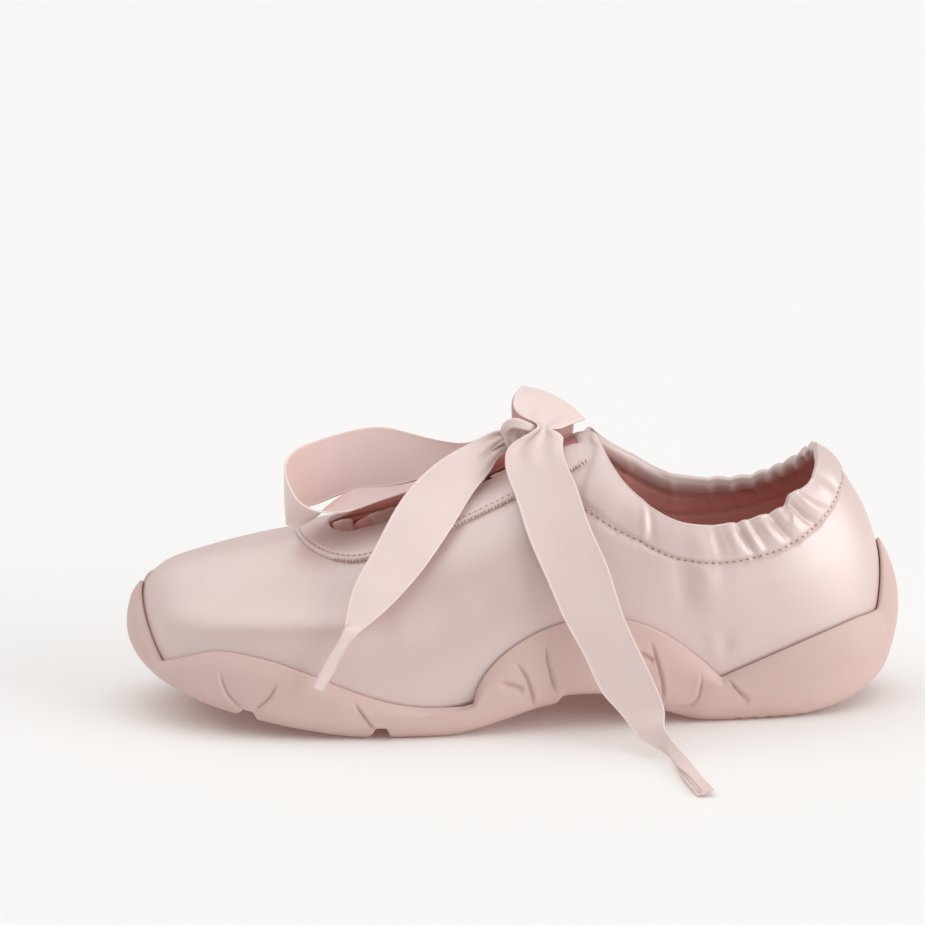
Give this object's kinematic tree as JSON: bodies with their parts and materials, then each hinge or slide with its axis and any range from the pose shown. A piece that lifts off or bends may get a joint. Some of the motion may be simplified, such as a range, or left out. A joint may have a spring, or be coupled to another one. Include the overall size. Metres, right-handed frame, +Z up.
{
  "type": "ballet sneaker",
  "caption": "Low satin sneaker in the style of a ballet shoe, left foot, with a wave-edged rubber sole, gathered elastic collar and a ribbon bow over a laced throat slot.",
  "frame": {"origin": "floor point under the middle of the shoe's box, the bow left out", "axes": "+X to the toe, +Y to the outer side of the foot, +Z up"},
  "size_m": [0.2692, 0.1654, 0.11],
  "materials": {
    "sole_rubber": "matte moulded rubber",
    "satin": "satin weave",
    "lining": "soft matte cloth",
    "ribbon": "satin ribbon"
  },
  "bodies": {
    "root": {"sole": "sole_rubber", "upper": "satin", "insole": "lining", "eyestay": "satin", "tongue": "lining", "lace": "ribbon", "bow_knot": "ribbon", "bow_loop_front": "ribbon", "bow_loop_back": "ribbon", "bow_tail_front": "ribbon", "bow_tail_side": "ribbon"}
  },
  "joints": []
}
